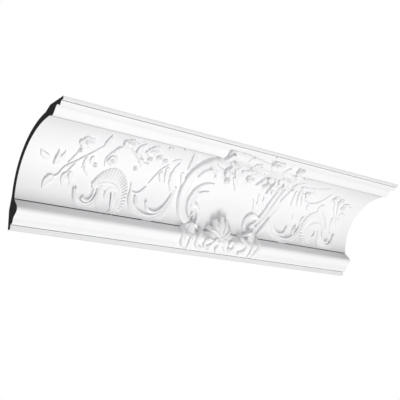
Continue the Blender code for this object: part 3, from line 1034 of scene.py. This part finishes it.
@dataclass
class LeftSpray(Carving):
    """Stems, leaves and flowers left of the cartouche."""

    leaves: tuple[Leaf, ...] = (
        Leaf((68, 208), (50, 230), 3, 8.45, 5, 2), Leaf((92, 198), (88, 219), 2, 5.85, 4.5, 1),
        Leaf((98, 194), (104, 216), -2, 5.2, 4.5, 1), Leaf((121, 160), (119, 182), -1, 3.9, 4.5, 1),
        Leaf((133, 156), (142, 174), 3, 5.2, 4, 1), Leaf((141, 126), (136, 94), 3, 5.85, 5, 2),
        Leaf((50, 176), (26, 163), -3, 5.85, 4, 2), Leaf((62, 186), (60, 156), 3, 5.2, 6, 1),
        Leaf((66, 182), (74, 156), 3, 4.55, 4.5, 1),
        Leaf((220, 130), (213, 94), -4, 7.15, 5.5, 2), Leaf((349, 140), (316, 80), 8, 7.15, 5, 4),
        Leaf((297, 84), (290, 68), 2, 4.55, 4, 1), Leaf((290, 158), (298, 178), -2, 5.2, 5, 1),
        Leaf((300, 146), (309, 178), -3, 5.85, 5, 2), Leaf((228, 140), (240, 156), -2, 4.55, 4, 1),
        Leaf((178, 122), (168, 140), 2, 5.85, 6, 2), Leaf((188, 112), (199, 98), 2, 5.2, 5, 1),
        Leaf((236, 108), (243, 92), -2, 5.2, 5, 1), Leaf((340, 150), (352, 178), -3, 5.2, 4, 2),
    )
    blooms: tuple[Bloom, ...] = (
        Bloom((104, 128), 16, 5, 6, 0.5), Bloom((182, 104), 14, 5, 6.5, 0.9),
        Bloom((174, 156), 11, 5, 5.5, 0.3),
        Bloom((241, 114), 14, 5, 5.5, 0.2), Bloom((268, 89), 6, 4, 4.6), Bloom((266, 126), 7, 4, 5),
        Bloom((284, 131), 6, 4, 4.6), Bloom((250, 136), 6, 4, 4.6), Bloom((231, 163), 4.5, 4, 4.4),
        Bloom((144, 173), 4.5, 4, 4.4), Bloom((101, 150), 4, 4, 4.4),
    )
    # Stems: the long one down to the lowest leaf, and those between the flowers.
    strokes: tuple[Stroke, ...] = stems(
        ((141, 128), (131, 143), (104, 172), (84, 188), (74, 204), (58, 212)),
        ((99, 152), (94, 168), (88, 178)), ((104, 176), (97, 188), (90, 200)),
        ((124, 163), (125, 182), (136, 194)), ((172, 126), (163, 144), (160, 156), (164, 170)),
        ((188, 114), (212, 130), (238, 146), (254, 147)), ((213, 116), (222, 128), (238, 139)),
        ((298, 139), (288, 154), (283, 168), (275, 186)),
        ((236, 196), (242, 208), (256, 209), (268, 200)), ((300, 127), (308, 121), (316, 118)),
    )


@dataclass
class RightSpray(Carving):
    """Stems, leaves and flowers right of the cartouche."""

    leaves: tuple[Leaf, ...] = (
        Leaf((660, 116), (732, 98), 9, 7.15, 6, 4), Leaf((700, 112), (724, 112), 3, 5.85, 5, 2),
        Leaf((668, 128), (688, 170), -2, 4.55, 5, 3), Leaf((680, 134), (702, 166), -2, 4.55, 5, 3),
        Leaf((658, 132), (670, 172), -3, 4.55, 5, 3), Leaf((768, 154), (782, 184), 3, 10.4, 5, 2),
        Leaf((722, 162), (738, 176), 2, 4.55, 4, 1), Leaf((841, 168), (868, 182), -3, 6.5, 4.5, 2),
        Leaf((838, 182), (860, 212), -3, 6.5, 4.5, 2), Leaf((824, 182), (830, 216), -3, 5.85, 4.5, 2),
        Leaf((846, 152), (858, 142), 2, 5.2, 4.5, 1),
    )
    blooms: tuple[Bloom, ...] = (
        Bloom((702, 130), 15, 5, 6, 0.4), Bloom((789, 128), 10, 5, 6, 0.3), Bloom((812, 133), 9, 4, 6, 0.8),
        Bloom((840, 147), 12, 5, 5.5),
    )
    # Stems: the low loop between the flowers, and those that fall to the last leaves.
    strokes: tuple[Stroke, ...] = stems(
        ((690, 140), (705, 151), (728, 157), (750, 148), (764, 118)),
        ((794, 136), (806, 152), (822, 172), (832, 190)), ((812, 142), (826, 162), (838, 184)),
    )


@dataclass
class CartoucheLeft(Carving):
    """The tall left scroll of the cartouche with its volute and inner leaves."""

    leaves: tuple[Leaf, ...] = (
        Leaf((398, 222), (404, 176), -4, 6, 6.5, 2, Cut.FLAT),
        Leaf((382, 100), (430, 118), 8, 9, 8, 4, Cut.FLAT),
        Leaf((392, 206), (430, 178), -5, 5, 5, 3),
    )
    knobs: tuple[Knob, ...] = (((405, 237), 4, 6.5),)
    # Outer band, inner leaf band, the oval volute and the hook at the shoulder.
    strokes: tuple[Stroke, ...] = (
        carved(((402, 50), (382, 82), (370, 118), (364, 162), (366, 204), (377, 236), (394, 250)), 72,
               (7, 10, 11, 11, 9), (13, 11, 9, 8.5, 7.5), Cut.FLAT),
        carved(((390, 230), (387, 202), (396, 178), (416, 163), (432, 160)), 44,
               (4, 6, 5.5, 2), (6.5, 7.5, 6.5, 4)),
        carved(((392, 234), (393, 217), (403, 211), (415, 221), (417, 240), (407, 252), (396, 246),
                (396, 235), (403, 228)), 60, (5, 5.5, 5, 3.4), (6.5, 7, 6.5, 6)),
        carved(((384, 152), (388, 137), (401, 127), (417, 132), (424, 143)), 30, (3, 5, 3), (5, 7, 5)),
    )


@dataclass
class CartoucheRight(Carving):
    """The slanting right side of the cartouche: three leaf ribs and a volute."""

    leaves: tuple[Leaf, ...] = (
        Leaf((584, 206), (561, 159), 5, 8, 4.5, 3), Leaf((640, 128), (658, 100), -5, 8, 6, 3, Cut.FLAT),
        Leaf((577, 214), (556, 175), 4, 6.5, 4.5, 3), Leaf((594, 194), (580, 164), 3, 6.5, 4.5, 2),
    )
    knobs: tuple[Knob, ...] = (((569, 234), 5, 6.0),)
    # The three ribs side by side, and the volute at their foot.
    strokes: tuple[Stroke, ...] = (
        *(carved(route, 44, (4, 6.5, 6.5, 4), (5, 6.5, 6.5, 5)) for route in (
            ((625, 126), (624, 172), (607, 212), (582, 240)),
            ((643, 132), (637, 182), (617, 222), (592, 250)),
            ((611, 123), (610, 172), (598, 208), (574, 232)),
        )),
        carved(((588, 216), (573, 209), (556, 218), (551, 236), (562, 251), (578, 247), (581, 235),
                (572, 229)), 56, (5, 6, 5, 3.4), (6, 6.5, 6, 5)),
    )


@dataclass
class Garland(Carving):
    """The bunch of flowers and leaves over the crown mouldings."""

    lean: float = -0.1
    blooms: tuple[Bloom, ...] = (
        Bloom((404, 45), 16, 5, 7.5, 0.2, 0.3), Bloom((428, 78), 13, 5, 11.5, 0.5, 0.5),
        Bloom((476, 64), 13, 5, 10.5, 0.1, 0.5), Bloom((527, 50), 19, 5, 8.5, 0.5, 0.3),
        Bloom((586, 100), 15, 5, 11.5, 0.3, 0.5), Bloom((556, 106), 12, 5, 11, 0.9, 0.5),
        Bloom((440, 118), 10, 5, 11, 0.4, 0.6), Bloom((594, 52), 9, 5, 8, 0.4, 0.5),
        Bloom((456, 142), 7, 4, 8, 0.2, 0.5), Bloom((508, 124), 9, 5, 9, 0.6, 0.5),
        Bloom((562, 132), 8, 4, 9, 0.3, 0.5), Bloom((604, 134), 8, 4, 8, 0.6, 0.5),
    )
    leaves: tuple[Leaf, ...] = (
        Leaf((420, 48), (442, 36), -3, 6, 7, 2), Leaf((446, 62), (458, 42), -3, 6, 8, 2),
        Leaf((438, 92), (446, 138), 5, 7, 9, 3), Leaf((452, 104), (476, 142), -5, 8, 7, 3),
        Leaf((470, 108), (502, 92), 4, 7, 9, 3), Leaf((468, 132), (492, 164), -4, 6, 5, 2),
        Leaf((497, 34), (503, 12), 2, 5, 4, 2),
        Leaf((488, 74), (540, 92), 5, 8, 11, 4), Leaf((508, 92), (500, 130), 4, 7, 9, 3),
        Leaf((548, 66), (566, 46), 3, 6, 7, 2), Leaf((566, 84), (592, 68), 4, 7, 11, 3),
        Leaf((576, 112), (578, 154), -4, 6.5, 10, 3), Leaf((592, 114), (594, 152), 4, 6.5, 10, 3),
        Leaf((544, 112), (534, 138), -4, 6, 9, 2), Leaf((600, 108), (632, 128), 4, 7, 9, 3),
        Leaf((392, 62), (380, 80), 4, 6, 11, 2), Leaf((602, 92), (640, 78), 3, 6, 8, 2),
    )
    knobs: tuple[Knob, ...] = (
        ((611, 80), 12, 9.0), ((516, 84), 9, 12.0), ((604, 46), 4, 7.0), ((632, 76), 4, 5.0),
    )
    # The low mound that the flowers lie on.
    strokes: tuple[Stroke, ...] = (Stroke(bowed((398, 46), (616, 98), 4, 40), (15, 26, 18), (5.5, 7.5, 6)),)


@dataclass
class Palmette(Carving):
    """The ruffled shell on the base mouldings with a scroll at each side of its foot."""

    lean: float = 0.0
    ground: Ground = Ground(middle=478.0, lean=0.12, fall=0.00025)
    leaves: tuple[Leaf, ...] = (
        Leaf((472, 288), (448, 314), 3, 7, 7, 2), Leaf((475, 288), (473, 322), 0, 8, 8, 2),
        Leaf((478, 288), (498, 314), -3, 7, 7, 2),
    )
    knobs: tuple[Knob, ...] = (((475, 286), 8, 6.0),)
    # The shell, highest just right of its middle, and the two scrolls at its foot.
    strokes: tuple[Stroke, ...] = (
        *shell((475, 290),
               ((439, 270), (445, 248), (459, 234), (476, 228), (493, 231), (511, 244), (519, 268)),
               (3.5, 4.5, 5.0, 4.0), ((452, 262), (465, 248), (483, 246), (499, 259))),
        *(carved(route, 36, (4, 4.5, 3), (6.5, 7, 6)) for route in (
            ((452, 294), (440, 290), (434, 299), (441, 308), (450, 302)),
            ((498, 294), (511, 290), (517, 299), (510, 308), (501, 302)),
        )),
    )


@dataclass
class Foot(Carving):
    """The leafy foot of the cartouche over the base mouldings."""

    lean: float = 0.0
    ground: Ground = Ground(middle=400.0, lean=0.1, fall=0.0012, front=31.0)
    leaves: tuple[Leaf, ...] = (
        Leaf((418, 284), (426, 254), 4, 6, 8, 2), Leaf((396, 290), (400, 326), 3, 6, 8, 2),
    )
    # The low bed, and the two soft curls that part on it.
    strokes: tuple[Stroke, ...] = (
        carved(((394, 250), (395, 264), (395, 286), (396, 320)), 30, (9, 12, 14, 10), (2.5, 2, 2.5, 2.5)),
        carved(((385, 252), (378, 268), (374, 288), (380, 308), (390, 320)), 44,
               (6, 7.5, 7, 4), (6, 6, 7.5, 6)),
        carved(((402, 252), (419, 264), (420, 278), (411, 294), (416, 306), (430, 312)), 44,
               (5.5, 6, 5.5, 3.4), (6, 6, 7.5, 6)),
    )


@dataclass
class Casting:
    """The plain moulding: its section pushed along the length, with two sawn ends."""

    sheet: Sheet
    face_finish: bpy.types.Material
    back_finish: bpy.types.Material
    # Dark grey of the sawn ends, also painted into the grooves as painted shade.
    end_and_groove_shade_finish: bpy.types.Material
    stations: int = 46
    crease: float = 40.0

    def build(self) -> bpy.types.Object:
        """Builds the casting, which stands for the CAD solid.

        Returns:
            The finished piece.
        """
        section = self.sheet.section
        face, hidden, grooves = section.outlines()
        outline, corner = section.softened(np.vstack([face, hidden]))
        run = np.linspace(0, self.sheet.length_mm, self.stations)
        x, _ = np.meshgrid(run, np.arange(len(outline)), indexing="ij")
        rings = self.sheet.world(x, np.broadcast_to(outline, (*x.shape, 2)))
        cap = np.array(tessellate_polygon([[Vector((0.0, *point)) for point in outline]]))
        mesh = Mesh()
        mesh.loft(rings, cap)
        finishes = [self.face_finish, self.back_finish, self.end_and_groove_shade_finish]
        piece = mesh.make("cornice_body", finishes, self.crease)
        finish = np.where(corner >= len(face) - 1, Finish.BACK, Finish.FACE)
        # Painted shade: the grooves take the dark grey of the sawn ends.
        finish[np.isin(corner, grooves)] = Finish.SAWN_END_AND_GROOVE_SHADE
        self.paint(piece, np.tile(finish, self.stations - 1))
        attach(piece, BODY)
        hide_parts(NODE)
        return piece

    @staticmethod
    def paint(piece: bpy.types.Object, finishes: np.ndarray) -> None:
        """Gives the hidden side and the sawn ends their finishes, and paints the grooves dark grey as
        painted shade.

        Args:
            piece: The casting.
            finishes: For each side face, the number of its finish. The ends are sawn.
        """
        choice = np.full(len(piece.data.polygons), Finish.SAWN_END_AND_GROOVE_SHADE, np.int32)
        choice[: len(finishes)] = finishes
        piece.data.polygons.foreach_set("material_index", choice)


@dataclass
class Studio:
    """Camera, soft light, white surround and pale floor."""

    place: Place = (-0.96820, -1.23476, -0.31990)
    right: Place = (0.7896536, -0.61346988, -0.01009452)
    down: Place = (0.15463485, 0.21491235, -0.96431361)
    ahead: Place = (0.59374679, 0.75991275, 0.26457014)
    sensor_mm: float = 36.0
    focal_px: float = 725.363
    image_px: float = 400.0
    clip_start: float = 0.05
    aim: Place = (0.0, -0.1, 0.08)
    floor_z: float = -3.2
    floor_size: float = 14.0
    surround: str = "#FFFFFF"
    surround_light: float = 0.24
    lamps: tuple[tuple[str, Place, float, float], ...] = (
        ("key_from_below", (0.13, -1.6, -2.75), 2.0, 93.0),
        ("fill_in_front", (-0.28, -3.28, -0.2), 1.0, 24.0),
        ("fill_from_above", (0.0, -2.16, 2.53), 1.0, 33.0),
    )

    def camera(self) -> None:
        """Stands the camera where the photograph's was, from its measured place and axes."""
        data = bpy.data.cameras.new("camera")
        data.sensor_width = self.sensor_mm
        data.lens = self.sensor_mm * self.focal_px / self.image_px
        data.clip_start = self.clip_start
        thing = placed("camera", data)
        axes = [Vector(self.right), -Vector(self.down), -Vector(self.ahead)]
        turned = Matrix([[axis[row] for axis in axes] for row in range(3)]).to_4x4()
        thing.matrix_world = Matrix.Translation(self.place) @ turned
        bpy.context.scene.camera = thing

    def light(self) -> None:
        """Hangs the soft lamps, all turned to the middle of the moulding."""
        for name, place, size, power in self.lamps:
            data = bpy.data.lights.new(name, "AREA")
            data.size = size
            data.energy = power
            turned = (Vector(self.aim) - Vector(place)).to_track_quat("-Z", "Y").to_matrix().to_4x4()
            placed(name, data).matrix_world = Matrix.Translation(place) @ turned

    def world(self) -> None:
        """White all round to the camera, and a softer even light on the object."""
        world = bpy.data.worlds.new("surround")
        world.use_nodes = True
        tree = world.node_tree
        tree.nodes.clear()
        seen = add_node(tree, "ShaderNodeLightPath", {}).outputs["Is Camera Ray"]
        white = add_node(tree, "ShaderNodeBackground", {"Color": linear(self.surround), "Strength": 1.0})
        soft = add_node(tree, "ShaderNodeBackground",
                        {"Color": linear(self.surround), "Strength": self.surround_light})
        both = add_node(tree, "ShaderNodeMixShader",
                        {0: seen, 1: soft.outputs["Background"], 2: white.outputs["Background"]})
        add_node(tree, "ShaderNodeOutputWorld", {"Surface": both.outputs["Shader"]})
        bpy.context.scene.world = world
        bpy.context.scene.view_settings.view_transform = "Standard"

    def floor(self) -> None:
        """Lays a plain pale floor well below the part: one flat square with a faint uneven tone."""
        half = self.floor_size / 2
        mesh = bpy.data.meshes.new("floor")
        corners = [(-half, -half), (half, -half), (half, half), (-half, half)]
        mesh.from_pydata([(x, y, self.floor_z) for x, y in corners], [], [(0, 1, 2, 3)])
        mesh.materials.append(FLOOR.material())
        placed("floor", mesh)

    def build(self) -> None:
        """Sets up the whole studio."""
        self.camera()
        self.light()
        self.world()
        self.floor()


def main() -> None:
    """Builds the studio, the casting and its carving, sized from the part's box."""
    logging.basicConfig(level=logging.INFO, format="%(name)s: %(message)s")
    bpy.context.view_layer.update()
    low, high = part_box(NODE)
    Studio().build()
    section = Section(projection=high.y - low.y, height=high.z - low.z)
    sheet = Sheet(section, high.x - low.x)
    primed = PRIMED.material()
    assemblies = [
        Casting(sheet, primed, BARE_SKIN.material(), SAWN_END_AND_GROOVE_SHADE.material()),
        Scrollwork("scrollwork_left", sheet, primed),
        Scrollwork("scrollwork_right", sheet, primed, MIRROR_AXIS),
        LeftSpray("spray_left", sheet, primed),
        RightSpray("spray_right", sheet, primed),
        CartoucheLeft("cartouche_left", sheet, primed),
        CartoucheRight("cartouche_right", sheet, primed),
        Garland("garland", sheet, primed),
        Palmette("palmette", sheet, primed),
        Foot("foot_left", sheet, primed),
        Foot("foot_right", sheet, primed, MIRROR_AXIS),
    ]
    for assembly in assemblies:
        piece = assembly.build()
        faces = sum(len(face.vertices) - 2 for face in piece.data.polygons)
        LOG.info("%s: %d triangles", piece.name, faces)


if __name__ == "__main__":
    main()
